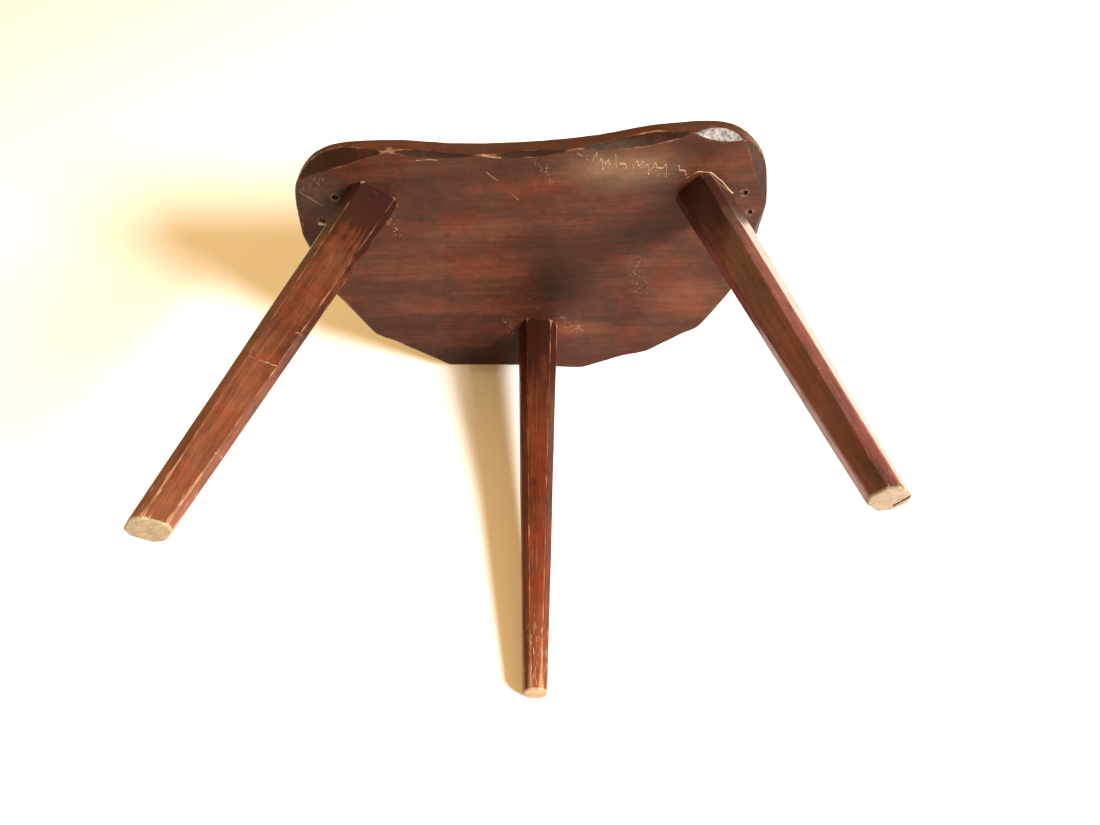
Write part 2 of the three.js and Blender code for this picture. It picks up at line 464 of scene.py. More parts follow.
def rim_profile():
    """Distances outward and up of a path along the underside, up the side and back over the top."""
    way = np.linspace(0, 2 * RIM_INSET + THICKNESS, RIM_STEPS)
    outward = np.minimum(0, np.minimum(way - RIM_INSET, RIM_INSET + THICKNESS - way))
    return outward, np.clip(way - RIM_INSET, 0, THICKNESS)


def rim_rings():
    """The rim read from the CAD seat's gouged edge: its rings, and how deep each is gouged."""
    tree = seat_tree()
    even, outward = seat_outline(tree)
    core = at_level(even - outward * RIM_INSET, (UNDERSIDE + TOP) / 2)
    rim, gouged = [], []
    for across, up in zip(*rim_profile()):
        target = at_level(even + outward * across, UNDERSIDE + up)
        ring, depths = [], []
        for start, stop in zip(core, target):
            ray, start, stop = Vector(stop - start), Vector(start), Vector(stop)
            hit = tree.ray_cast(start, ray.normalized(), ray.length * 1.2)[0]
            if hit is None or (hit - start).length > ray.length + 0.2 * MM:
                hit = stop
            ring.append(hit)
            depths.append(ray.length - (hit - start).length if up < THICKNESS / 2 else 0.0)
        rim.append(np.array(ring))
        gouged.append(np.clip(np.array(depths) / FACET_DEPTH, 0, 1))
    return np.array(rim), gouged


def dented(rim):
    """The rim pushed in and out by small dents that fade toward its two edges."""
    points = rim.reshape(-1, 3)
    dents = sum(wobble(points, size, seed, depth) for size, seed, depth in RIM_DENTS)
    fade = np.sin(np.linspace(0, math.pi, RIM_STEPS))[:, None].repeat(OUTLINE_STEPS, axis=1).reshape(-1)
    push = unit_rows(points - np.array([0, 0, (UNDERSIDE + TOP) / 2]))
    return (points + push * (dents * fade)[:, None]).reshape(rim.shape)


def plate(edge, z):
    """Rings from near the middle of a face out to its edge."""
    middle = np.array([edge[:, 0].mean(), edge[:, 1].mean(), z])
    return [middle + (edge - middle) * share for share in np.linspace(0, 1, PLATE_RINGS + 1)[1:-1]]


def seat_mesh():
    """The plank, its rim read from the CAD seat and then worn, its faces filled by rings."""
    rim, gouged = rim_rings()
    for _ in range(3):
        inner = rim[1:-1]
        inner[:] = inner * 0.5 + (rim[:-2] + rim[2:]) * 0.25
    sharp = np.zeros(rim.shape[:2])
    bend = np.linalg.norm(rim[2:] - 2 * rim[1:-1] + rim[:-2], axis=2)
    sharp[1:-1] = np.clip(bend / ARRIS_BEND, 0, 1)
    sharp *= np.where(rim_profile()[1] > 0.6 * THICKNESS, 0.45, 1.0)[:, None]
    rim = dented(rim)
    under, over = plate(rim[0], UNDERSIDE), plate(rim[-1], TOP)[::-1]
    none = [np.zeros(OUTLINE_STEPS)]
    wears = none * len(under) + list(sharp) + none * len(over)
    facets = none * len(under) + gouged + none * len(over)
    obj = closed_from_rings("gouged_seat", under + list(rim) + over, {"wear": wears, "facet": facets})
    face_outward(obj)
    return obj


def peg_hole_cutters():
    """Slightly slanted round holes in the underside, two beside each rear leg."""
    cutters = []
    for i, (x, y) in enumerate(PEG_HOLES):
        centre = Vector((x * MM, y * MM, UNDERSIDE))
        lean = Vector((0.1 * math.sin(i * 2.1), 0.1 * math.cos(i * 3.3), 1.0))
        low, high = UNDERSIDE - 2 * MM, UNDERSIDE + 2.6 * MM
        cutters.append(rod("peg_hole", centre, lean, PEG_HOLE_RADIUS, low, high, 20))
    return cutters


# ---- shader nodes


class Nodes:
    """Short calls for building a node tree. Most of them give back a socket."""

    def __init__(self, tree):
        self.tree = tree

    def new(self, kind, **settings):
        node = self.tree.nodes.new("ShaderNode" + kind)
        for key, value in settings.items():
            setattr(node, key, value)
        return node

    def feed(self, socket, value):
        """Links a socket to an input, or sets the input's value. None leaves it as it is."""
        if isinstance(value, bpy.types.NodeSocket):
            self.tree.links.new(value, socket)
        elif value is not None:
            socket.default_value = value

    def fill(self, node, **values):
        """Feeds inputs by name, with an underscore for a space."""
        for key, value in values.items():
            self.feed(node.inputs[key.replace("_", " ")], value)

    def math(self, operation, a, b=None, c=None, clamp=False):
        node = self.new("Math", operation=operation, use_clamp=clamp)
        for socket, value in zip(node.inputs, (a, b, c)):
            self.feed(socket, value)
        return node.outputs[0]

    def add(self, *values):
        return reduce(partial(self.math, "ADD"), values)

    def times(self, a, b):
        return self.math("MULTIPLY", a, b)

    def largest(self, *values):
        return reduce(partial(self.math, "MAXIMUM"), values)

    def blend(self, value, amount, base):
        """The value times an amount, on top of a base."""
        return self.math("MULTIPLY_ADD", value, amount, base)

    def centred(self, value, amount, middle=0.0):
        """A value that runs from 0 to 1, scaled by an amount and laid round a middle."""
        return self.blend(value, amount, middle - amount / 2)

    def vector(self, operation, a, b=None, scale=None):
        node = self.new("VectorMath", operation=operation)
        self.feed(node.inputs[0], a)
        self.feed(node.inputs[1], b)
        if scale is not None:
            self.feed(node.inputs["Scale"], scale)
        return node.outputs["Value" if operation in ("DOT_PRODUCT", "LENGTH", "DISTANCE") else "Vector"]

    def position(self):
        return self.new("TexCoord").outputs["Object"]

    def attribute(self, name):
        return self.new("Attribute", attribute_name=name).outputs["Fac"]

    def split(self, vector):
        """The x, y and z of a vector."""
        node = self.new("SeparateXYZ")
        self.feed(node.inputs[0], vector)
        return node.outputs

    def join(self, x, y=None):
        node = self.new("CombineXYZ")
        self.fill(node, X=x, Y=y)
        return node.outputs[0]

    def flat(self, vector):
        """Places dropped onto the plan."""
        return self.vector("MULTIPLY", vector, (1, 1, 0))

    def mapping(self, vector, location=(0, 0, 0), rotation=(0, 0, 0), scale=(1, 1, 1), kind="POINT"):
        node = self.new("Mapping", vector_type=kind)
        self.fill(node, Vector=vector, Location=location, Rotation=rotation, Scale=scale)
        return node.outputs[0]

    def noise(self, vector, scale, detail=4.0, roughness=0.55):
        node = self.new("TexNoise")
        self.fill(node, Vector=vector, Scale=scale, Detail=detail, Roughness=roughness)
        return node.outputs["Fac"]

    def shaken(self, vector, scale, amount, detail=2.0):
        """Places pushed about a little, so that straight lines through them waver."""
        node = self.new("TexNoise")
        self.fill(node, Vector=vector, Scale=scale, Detail=detail)
        push = self.vector("SUBTRACT", node.outputs["Color"], (0.5, 0.5, 0.5))
        return self.vector("ADD", vector, self.vector("SCALE", push, scale=amount))

    def cells(self, vector, keep):
        """Distance from the middles of random cells, and a mask of the share of the cells that is kept."""
        node = self.new("TexVoronoi")
        self.fill(node, Vector=vector, Scale=1.0)
        draw = self.vector("DOT_PRODUCT", node.outputs["Color"], (1, 0, 0))
        return node.outputs["Distance"], self.math("GREATER_THAN", draw, 1 - keep)

    def span(self, value, low, high, to_low=0.0, to_high=1.0):
        """A smooth change from one level to another while the value goes from low to high."""
        node = self.new("MapRange", interpolation_type="SMOOTHSTEP")
        self.fill(node, Value=value, From_Min=low, From_Max=high, To_Min=to_low, To_Max=to_high)
        return node.outputs[0]

    def specks(self, vector, scale, detail, low, high, weak=0.0, strong=1.0, roughness=0.55):
        """Noise shown as patches: weak where it is below one level, strong above another."""
        return self.span(self.noise(vector, scale, detail, roughness), low, high, weak, strong)

    def line(self, distance, width):
        """1 on a line, and 0 a width away from it."""
        return self.span(distance, width * 0.3, width, 1.0, 0.0)

    def ramp(self, value, stops):
        node = self.new("ValToRGB")
        elements = node.color_ramp.elements
        while len(elements) < len(stops):
            elements.new(0.5)
        for element, (place, colour) in zip(elements, stops):
            element.position = place
            element.color = (*colour, 1.0)
        self.feed(node.inputs["Fac"], value)
        return node.outputs["Color"]

    def mix(self, factor, a, b):
        """Colour a turned toward colour b; each is a socket or three numbers."""
        node = self.new("Mix", data_type="RGBA")
        self.feed(node.inputs["Factor"], factor)
        for socket, value in zip([s for s in node.inputs if s.type == "RGBA"], (a, b)):
            self.feed(socket, (*value, 1.0) if isinstance(value, tuple) else value)
        return [s for s in node.outputs if s.type == "RGBA"][0]

    def bump(self, height, strength, distance):
        node = self.new("Bump")
        self.fill(node, Height=height, Strength=strength, Distance=distance)
        return node.outputs[0]


def stroke(nodes, point, start, stop, width):
    """A mask along a straight scratch between two places, 1 on its line and 0 a width away."""
    start, stop = Vector(start), Vector(stop)
    ahead = stop - start
    from_start = nodes.vector("SUBTRACT", point, tuple(start))
    along = nodes.vector("DOT_PRODUCT", from_start, tuple(ahead))
    share = nodes.math("DIVIDE", along, ahead.length_squared, clamp=True)
    nearest = nodes.vector("SCALE", tuple(ahead), scale=share)
    return nodes.line(nodes.vector("DISTANCE", from_start, nearest), width)


def strokes(nodes, point, marks):
    """The strongest of several strokes: each mark is start, stop, width and strength."""
    return nodes.largest(0.0, *[nodes.times(stroke(nodes, point, *mark[:3]), mark[3]) for mark in marks])


def streaks(nodes, sheet, angle, length, spacing, keep, thickness, seed):
    """Random thin scratches in one direction: long narrow cells, of which a few show their middles."""
    laid = nodes.mapping(sheet, rotation=(0, 0, angle), location=(seed * 0.37, seed * 0.53, 0))
    distance, picked = nodes.cells(nodes.mapping(laid, scale=(1 / length, 1 / spacing, 0)), keep)
    return nodes.times(picked, nodes.line(distance, thickness))


def patch(skin, x, y, wide, deep, amount):
    """A soft patch of tone round a place in plan, given in millimetres."""
    offset = skin.vector("SUBTRACT", skin.place, (x * MM, y * MM, 0))
    squashed = skin.vector("MULTIPLY", offset, (1 / (wide * MM), 1 / (deep * MM), 0))
    return skin.span(skin.vector("LENGTH", squashed), 0.0, 1.0, amount, 0.0)


# ---- varnished wood

WORN_WOOD = (0.25, 0.13, 0.066)
SCRATCHED_WOOD = (0.34, 0.235, 0.145)
GRIME = (0.020, 0.011, 0.006)
RED_SHIFT = (1.12, 0.84, 0.74)

# Fine scratches over every skin: direction, length and spacing (m), share that shows, thickness and seed
SKIN_SCRATCHES = (
    (0.25, 0.030, 0.0011, 0.04, 0.16, 1), (1.35, 0.018, 0.0010, 0.025, 0.16, 2),
    (-0.6, 0.022, 0.0010, 0.025, 0.16, 3))


def scaled(colour, factor):
    return tuple(c * factor for c in colour)


class Skin(Nodes):
    """One piece's varnished wood: colour, roughness and height, laid on layer by layer."""

    shade = None    # function of (skin) that gives a tone to add
    detail = None   # function of (skin, sheet) that gives a mask of the piece's own scratches
    finish = None   # function of (skin) that gives the changed colour
    radius = None   # mean radius of a leg, or None for a flat plank
    figure = 1.0    # strength of the broad figure
    fibre = 0.45    # strength of the fine fibres
    # The facet tone is painted shade that darkens the gouged facets.
    facet = 0.0     # tone added on gouged facets
    dirt = 0.5
    wear = 1.0
    roughness = 0.36
    specular = 0.12
    coat = 0.0
    end = None      # colour of sawn end grain
    cap = None      # colour of varnished end grain

    def __init__(self, tree, origin, axis, palette, **look):
        super().__init__(tree)
        self.palette = palette
        for key, value in look.items():
            setattr(self, key, value)
        turn = axis.to_track_quat("Z", "Y").to_euler()
        self.place = self.position()
        self.local = self.mapping(self.place, tuple(origin), tuple(turn), kind="TEXTURE")
        self.bent = self.shaken(self.local, 11.0, 0.009, detail=3.0)
        self.lay_figure()
        self.lay_pores()
        self.lay_grime()
        self.lay_wear()
        self.lay_scratches()
        if self.end is not None:
            self.lay_end_grain()

    def paint(self, mask, colour):
        self.colour = self.mix(mask, self.colour, colour)

    def roughen(self, mask, amount):
        self.rough = self.blend(mask, amount, self.rough)

    def raise_by(self, mask, amount):
        self.height = self.blend(mask, amount, self.height)

    def grain(self, across, along, detail, roughness):
        """Noise drawn out along the grain, with its counts per metre across and along it."""
        drawn = self.mapping(self.bent, scale=(across, across, along))
        return self.noise(drawn, 1.0, detail, roughness)

    def lay_figure(self):
        """Figure along the grain, from broad bands down to fibres, with clouds and redder areas."""
        broad = self.grain(46, 4.5, 3.0, 0.55)
        bands = self.grain(210, 9, 3.0, 0.65)
        fibre = self.grain(640, 16, 3.0, 0.6)
        cloud = self.noise(self.mapping(self.local, scale=(27, 27, 9)), 1.0, 4.0, 0.6)
        blotch = self.noise(self.local, 95.0, 4.0, 0.65)
        tone = self.add(
            self.centred(broad, 0.62 * self.figure), self.centred(bands, 0.46 * self.figure),
            self.centred(fibre, self.fibre), self.centred(cloud, 0.70, 0.5), self.centred(blotch, 0.36))
        if self.shade is not None:
            tone = self.add(tone, self.shade(self))
        # Painted shade on the gouged facets of the rim
        if self.facet:
            tone = self.blend(self.attribute("facet"), self.facet, tone)
        dark, middle, light = self.palette
        self.colour = self.ramp(tone, [(0.18, dark), (0.5, middle), (0.82, light)])
        warmth = self.specks(self.local, 31.0, 2.0, 0.42, 0.66, roughness=0.5)
        self.paint(warmth, self.vector("MULTIPLY", self.colour, RED_SHIFT))
        self.rough = self.add(self.centred(cloud, 0.26, self.roughness), self.centred(fibre, 0.18))
        self.height = self.blend(fibre, 0.4, self.times(bands, 0.4))

    def lay_pores(self):
        """Open pores: short dark dashes along the grain."""
        distance, picked = self.cells(self.mapping(self.bent, scale=(1500, 1500, 130)), 0.5)
        pore = self.times(self.span(distance, 0.1, 0.36, 1.0, 0.0), picked)
        self.paint(self.times(pore, 0.42), scaled(self.palette[0], 0.35))
        self.raise_by(pore, -0.4)

    def lay_grime(self):
        """Grime that settles in patches."""
        grime = self.specks(self.local, 38.0, 5.0, 0.5, 0.74, roughness=0.62)
        self.paint(self.times(grime, self.dirt * 0.6), GRIME)
        self.roughen(grime, 0.16)

    def lay_wear(self):
        """Wear on the arrises, broken up along the grain."""
        breakup = self.grain(520, 60, 5.0, 0.75)
        patchy = self.noise(self.local, 30.0, 3.0, 0.55)
        wear = self.times(self.attribute("wear"), self.wear)
        wear = self.add(wear, self.centred(breakup, 1.2, -0.02), self.centred(patchy, 1.1, -0.09))
        worn = self.span(wear, 0.45, 1.0)
        worn_colour = self.mix(breakup, scaled(WORN_WOOD, 0.55), scaled(WORN_WOOD, 1.45))
        self.paint(self.times(worn, 0.85), worn_colour)
        self.roughen(worn, 0.25)
        self.raise_by(worn, -0.3)

    def sheet(self):
        """Coordinates of the skin: the plan of a plank, or along a leg and round it."""
        if self.radius is None:
            return self.flat(self.place)
        x, y, z = self.split(self.local)
        return self.join(z, self.times(self.math("ARCTAN2", y, x), self.radius))

    def lay_scratches(self):
        """Fine scratches over the skin, and the piece's own marks and finish."""
        drift = self.shaken(self.sheet(), 34.0, 0.005)
        fine = self.largest(*[streaks(self, drift, *look) for look in SKIN_SCRATCHES])
        scratch = self.times(fine, self.specks(self.local, 60.0, 2.0, 0.38, 0.62, 0.0, 0.3))
        if self.detail is not None:
            scratch = self.largest(scratch, self.detail(self, drift))
        if self.finish is not None:
            self.colour = self.finish(self)
        self.paint(self.times(scratch, 0.85), SCRATCHED_WOOD)
        self.roughen(scratch, 0.25)
        self.raise_by(scratch, -0.7)

    def lay_end_grain(self):
        """End grain with rings, saw marks, stains and specks: bare on the foot, varnished on the tenon."""
        place = self.place
        rings = self.new("TexWave", wave_type="RINGS", rings_direction="Z", wave_profile="SAW")
        heart = self.mapping(self.bent, location=(0.018, 0.011, 0), scale=(1, 1, 0.02))
        self.fill(rings, Vector=heart, Scale=190.0, Distortion=1.2, Detail=2.0)
        sawn = self.noise(self.mapping(place, rotation=(0, 0, 0.5), scale=(110, 620, 1)), 1.0, 3.0, 0.6)
        stain = self.noise(place, 210.0, 5.0, 0.7)
        base = self.mix(self.span(self.split(self.local)[2], 0.1, 0.2), self.end, self.cap)
        darkened = (
            (self.times(rings.outputs["Fac"], 0.4), (0.6, 0.6, 0.6)),
            (self.span(stain, 0.44, 0.62, 0.0, 0.8), (0.66, 0.60, 0.50)),
            (self.span(sawn, 0.4, 0.62, 0.0, 0.6), (0.62, 0.62, 0.62)),
            (self.specks(place, 430.0, 4.0, 0.54, 0.66, 0.0, 0.55, 0.7), (0.4, 0.4, 0.4)))
        pale = base
        for mask, tint in darkened:
            pale = self.mix(mask, pale, self.vector("MULTIPLY", base, tint))
        ragged = self.centred(self.noise(place, 380.0, 4.0, 0.65), 1.3)
        mask = self.span(self.add(self.attribute("end"), ragged), 0.5, 0.62)
        self.paint(mask, pale)
        self.rough = self.largest(self.rough, self.times(mask, 0.8))
        self.raise_by(mask, self.blend(sawn, 0.8, self.times(stain, 0.6)))


def new_material(name):
    """A material and its shader."""
    material = bpy.data.materials.new(name)
    material.use_nodes = True
    return material, material.node_tree.nodes["Principled BSDF"]


def varnished_wood(name, look):
    """A material of varnished wood."""
    material, shader = new_material(name)
    skin = Skin(material.node_tree, **look)
    skin.fill(
        shader, Base_Color=skin.colour, Roughness=skin.math("MINIMUM", skin.rough, 0.95),
        Normal=skin.bump(skin.height, 0.55, 0.0004), Specular_IOR_Level=skin.specular,
        Coat_Weight=skin.coat, Coat_Roughness=0.14)
    return material


# ---- the seat's own look

# Lighter and darker regions of the underside: middle, reach (mm) and tone
SEAT_PATCHES = (
    (-40, -52, 110, 24, 0.13),
    (85, -12, 80, 32, 0.16),
    (128, 34, 55, 46, 0.22),
    (25, 62, 60, 18, 0.20),
    (-75, 30, 90, 22, 0.10),
    (20, 14, 34, 62, -0.20),
    (5, -38, 40, 24, -0.16),
    (-60, 88, 70, 24, -0.24),
    (-150, -78, 42, 62, -0.24),
    (112, -78, 40, 16, -0.12),
    (-70, -95, 70, 18, -0.12),
    (0, -104, 60, 18, -0.16),
    (160, -95, 34, 34, 0.14),
)

# Dull brownish patches of painted sheen, dark knots and the facet with a painted reflection: middle, reach
# (mm) and amount
SEAT_PAINTED_SHEEN = ((76, -98, 66, 26, 0.5), (-155, -80, 34, 44, 0.08))
SEAT_KNOTS = ((-79, -62, 5, 4, 0.75), (-61.5, -46.6, 5, 4.5, 0.6), (12, 12, 6, 4, 0.4))
PAINTED_REFLECTION_SPOT = (143, -118, 24, 30, 1.2)

# Colours of the painted sheen, the knots, the painted shade inside the peg holes, and a painted reflection
# with its dark flecks
PAINTED_SHEEN = (0.165, 0.122, 0.074)
KNOT = (0.012, 0.007, 0.005)
PEG_HOLE_PAINTED_SHADE = (0.030, 0.012, 0.008)
REFLECTION_DARK_FLECKS = (0.022, 0.019, 0.017)
PAINTED_REFLECTION_COLOUR = (0.165, 0.150, 0.138)


def plan_marks(marks):
    """Marks given in millimetres on the plan as strokes in metres."""
    return [((x0 * MM, y0 * MM, 0), (x1 * MM, y1 * MM, 0), width * MM, strength)
            for x0, y0, x1, y1, width, strength in marks]


# Scratches on the underside: start, stop, half width (mm) and strength
SEAT_MARKS = plan_marks((
    (-24, -101, -3, -75, 0.42, 0.35),
    (-72, -122.6, -49, -120.4, 0.35, 0.8),
    (-95, -121.6, -83, -122.6, 0.7, 0.35),
    (-73, -114, -58, -112.3, 0.42, 0.55),
    (-25, -114.6, -13, -111.9, 1.1, 0.35),
    (-166, -95, -150, -80, 0.7, 0.25),
    (42, -111.5, 54, -104, 0.7, 0.95),
    (17.5, -104, 19.5, -93, 0.5, 0.35),
    # The next five rows draw pale lines round the right and the left leg's shoulders: worn corners and, in
    # part, a painted highlight along the gap between leg and seat.
    (122, -86.5, 130, -90.5, 0.5, 0.9),
    (130, -90.5, 139, -89.3, 0.6, 1.0),
    (139, -89.3, 148.5, -82, 0.7, 1.0),
    (148.5, -82, 158, -71, 0.7, 1.0),
    (-119.5, -92.5, -99, -75.8, 0.5, 0.8),
    (-157.5, -63.2, -152.5, -62.6, 1.7, 1.0),
))

# Where short scratches crowd together: start, stop, reach (mm) and strength
SEAT_SCUFFS = plan_marks((
    (52, -104, 112, -92, 8, 0.35),
    (-103, -66, -99, -49, 6, 1.0),
    (22, 50, 36, 64, 9, 0.55),
    (-24, 50, -20, 62, 6, 0.55),
    (15, -106, 22, -92, 6, 0.34),
    (-170, -100, -146, -100, 9, 0.18),
    (88, -12, 92, 20, 12, 0.24),
))

# A wandering scratch near the right leg: start, direction, length, swing, wave, half width and seed
TANGLE_START = (50 * MM, -106 * MM, 0)
TANGLE_TURN = 0.19
TANGLE_LENGTH = 76 * MM
TANGLE_SWING = 6.5 * MM
TANGLE_WAVE = 3.4 * MM
TANGLE_WIDTH = 1 * MM
TANGLE_SEED = 5.0


def tangle(skin):
    """A thin scratch that swings at random to both sides of a straight path, with gaps."""
    u, v = skin.split(skin.mapping(skin.place, TANGLE_START, (0, 0, TANGLE_TURN), kind="TEXTURE"))[:2]
    course = skin.join(skin.blend(u, 1 / TANGLE_WAVE, TANGLE_SEED))
    path = skin.centred(skin.noise(course, 1.0, 0.0), 4 * TANGLE_SWING)
    line = skin.line(skin.math("ABSOLUTE", skin.math("SUBTRACT", v, path)), TANGLE_WIDTH)
    from_middle = skin.math("ABSOLUTE", skin.math("SUBTRACT", u, TANGLE_LENGTH / 2))
    inside = skin.span(from_middle, TANGLE_LENGTH * 0.44, TANGLE_LENGTH * 0.5, 0.5, 0.0)
    lifted = skin.specks(course, 0.45, 1.0, 0.43, 0.50)
    return skin.times(line, skin.times(inside, lifted))


def to_peg_hole(skin):
    """How far a place is from the middle of the nearest peg hole, in plan."""
    flat = skin.flat(skin.place)
    gaps = [skin.vector("DISTANCE", flat, (x * MM, y * MM, 0)) for x, y in PEG_HOLES]
    return reduce(partial(skin.math, "MINIMUM"), gaps)


def near_underside(skin):
    """1 on the underside and the lower part of the rim."""
    return skin.math("LESS_THAN", skin.split(skin.place)[2], UNDERSIDE + 5 * MM)


def seat_shade(skin):
    """The lighter and darker regions of the underside."""
    return skin.add(0.0, *[patch(skin, *spot) for spot in SEAT_PATCHES])


def seat_scuffs(skin, sheet):
    """Short crossed scratches and crumbs of lost varnish, crowded in a few places."""
    region = strokes(skin, skin.flat(skin.place), SEAT_SCUFFS)
    crossed = skin.largest(
        streaks(skin, sheet, 1.2, 0.012, 0.0011, 0.30, 0.22, 4.0),
        streaks(skin, sheet, 0.35, 0.014, 0.0012, 0.26, 0.22, 6.0))
    crossed = skin.times(crossed, skin.math("MINIMUM", skin.times(region, 1.6), 1.0))
    crumbs = skin.specks(skin.place, 460.0, 4.0, 0.57, 0.66, 0.0, 0.9, 0.7)
    return skin.largest(crossed, skin.times(crumbs, region))


def seat_detail(skin, sheet):
    """The underside's own scratches, scuffs, flecks and the chips round the peg holes."""
    broken = skin.specks(skin.place, 260.0, 2.0, 0.25, 0.5, 0.3)
    lines = skin.largest(skin.times(strokes(skin, sheet, SEAT_MARKS), broken), tangle(skin))
    total = skin.largest(lines, seat_scuffs(skin, sheet))
    flecks = skin.specks(skin.place, 700.0, 4.0, 0.66, 0.74, 0.0, 0.5, 0.7)
    total = skin.largest(total, skin.times(flecks, skin.specks(skin.place, 13.0, 3.0, 0.5, 0.72)))
    rim = skin.span(to_peg_hole(skin), 1.8 * MM, 5.2 * MM, 0.22, 0.0)
    chipped = skin.times(rim, skin.specks(skin.place, 420.0, 3.0, 0.42, 0.58, 0.05))
    return skin.times(skin.largest(total, chipped), near_underside(skin))


def painted_reflection_on_facet(skin, colour):
    """One facet of the rim painted bright as a reflection, with dark flecks left in it."""
    near = skin.times(patch(skin, *PAINTED_REFLECTION_SPOT), skin.attribute("facet"))
    near = skin.add(near, skin.centred(skin.noise(skin.place, 330.0, 3.0, 0.6), 0.4))
    glints = skin.specks(skin.place, 300.0, 3.0, 0.22, 0.74, roughness=0.6)
    return skin.mix(skin.span(near, 0.22, 0.34), colour, skin.mix(glints, REFLECTION_DARK_FLECKS, PAINTED_REFLECTION_COLOUR))


def seat_finish(skin):
    """A dull brownish patch of painted sheen near the rear legs, small dark knots, painted shade deep in the
    peg holes and a painted reflection on one facet.
    """
    colour, under = skin.colour, near_underside(skin)
    # Painted sheen: lighter, greyer patches on the underside near the rear legs
    painted_sheen_mask = skin.times(skin.noise(skin.place, 60.0, 4.0, 0.6), under)
    for spots, mask, tint in ((SEAT_PAINTED_SHEEN, painted_sheen_mask, PAINTED_SHEEN), (SEAT_KNOTS, under, KNOT)):
        for spot in spots:
            colour = skin.mix(skin.times(patch(skin, *spot), mask), colour, tint)
    # Painted shade: darker deeper inside the peg holes
    inside = skin.span(skin.split(skin.place)[2], UNDERSIDE + 0.4 * MM, UNDERSIDE + 1.6 * MM, 0.0, 0.3)
    inside = skin.times(inside, skin.span(to_peg_hole(skin), 2.4 * MM, 3.0 * MM, 1.0, 0.0))
    # Then a painted reflection on one facet of the rim
    return painted_reflection_on_facet(skin, skin.mix(inside, colour, PEG_HOLE_PAINTED_SHADE))


# ---- the legs' own look

# For each leg: its dark, middle and light colour, the tones added near the foot, near the seat (painted
# shade under the seat) and on faces to the right (painted shade on the faces the key light falls on), its
# wear, how scuffed its foot is, its gloss and its sawn end
LEG_WOOD = {
    "left": dict(
        palette=((0.018, 0.0048, 0.0027), (0.079, 0.0256, 0.0120), (0.150, 0.050, 0.024)),
        tones=(0.16, -0.62, -0.10), wear=0.98, scuff=0.45, coat=0.2, end=(0.245, 0.19, 0.115)),
    "right": dict(
        palette=((0.026, 0.0099, 0.0088), (0.117, 0.038, 0.0370), (0.22, 0.075, 0.065)),
        tones=(0.0, -0.72, 0.0), wear=0.72, scuff=0.4, coat=0.55, end=(0.21, 0.152, 0.097)),
    "front": dict(
        palette=((0.026, 0.0072, 0.0042), (0.080, 0.0188, 0.0081), (0.150, 0.042, 0.0175)),
        tones=(0.10, -0.50, -0.20), wear=1.02, scuff=0.92, coat=0.05, fibre=0.65, figure=0.75,
        end=(0.36, 0.24, 0.155)),
}

# Scratches across the legs' faces, from one corner line toward the next:
# corner, share of the height, where it starts and stops across, half width (mm) and strength
CROSS_MARKS = {
    "left": (
        (2, 0.377, 0.0, 1.0, 0.5, 0.7),
        (2, 0.154, 0.78, 1.0, 0.5, 0.8),
        (3, 0.154, 0.0, 0.8, 0.5, 0.8),
        (2, 0.474, 0.86, 1.0, 0.8, 0.7),
        (3, 0.474, 0.0, 0.4, 0.8, 0.5),
    ),
    "right": (
        (1, 0.66, 0.0, 0.35, 0.6, 0.7),
        (1, 0.28, 0.15, 0.5, 0.6, 0.6),
    ),
    "front": (
        (1, 0.33, 0.2, 0.5, 0.5, 0.4),
    ),
}


def cross_marks(side):
    """A leg's cross scratches as strokes in space."""
    foot, shoulder = leg_corners(side)[:2]
    marks = []
    for corner, height, start, stop, width, strength in CROSS_MARKS[side]:
        ring = foot + (shoulder - foot) * height
        here, after = ring[corner], ring[(corner + 1) % len(ring)]
        ends = [tuple(here + (after - here) * share) for share in (start, stop)]
        marks.append((*ends, width * MM, strength))
    return marks


def leg_tone_and_painted_shade(skin):
    """A tone that changes from the foot up to the seat, darkest next to the seat as painted shade under it,
    and painted shade on the faces that look to the right, toward the key light.
    """
    low, high, aside = skin.tones
    z = skin.split(skin.local)[2]
    # Lighter toward the foot, and painted shade: darker over the part next to the seat
    rising = skin.add(skin.span(z, 0.03, 0.20, low, 0.0), skin.span(z, 0.20, 0.32, 0.0, high))
    normal = skin.new("NewGeometry").outputs["Normal"]
    rightward = skin.vector("DOT_PRODUCT", normal, (1, 0, 0))
    # Painted shade on the faces that look to the right, where the key light falls
    return skin.add(rising, skin.span(rightward, 0.35, 0.8, 0.0, aside))


def leg_detail(skin, sheet):
    """A leg's cross scratches, and the worn dashes along the grain above its foot."""
    broken = skin.specks(skin.place, 330.0, 3.0, 0.36, 0.6, 0.3)
    crossing = skin.times(strokes(skin, skin.shaken(skin.place, 110.0, 0.004), skin.marks), broken)
    dashes = skin.largest(
        streaks(skin, sheet, 0.0, 0.009, 0.0010, 0.55, 0.34, 7.0),
        streaks(skin, sheet, 0.05, 0.016, 0.0013, 0.4, 0.3, 8.0))
    crowd = skin.noise(skin.mapping(skin.local, scale=(1, 1, 0.3)), 130.0, 3.0, 0.6)
    crowd = skin.add(crowd, skin.times(skin.attribute("wear"), 0.25))
    near_foot = skin.span(skin.split(skin.local)[2], 0.004, 0.085, skin.scuff, 0.0)
    keep = skin.math("GREATER_THAN", crowd, skin.math("SUBTRACT", 1.0, near_foot))
    return skin.largest(crossing, skin.times(dashes, skin.times(keep, 0.9)))


# ---- build the pieces

MORTISE_RADIUS = TENON_RADIUS + 0.25 * MM
LEG_RADIUS = 13 * MM
VARNISHED_END = (0.17, 0.075, 0.035)


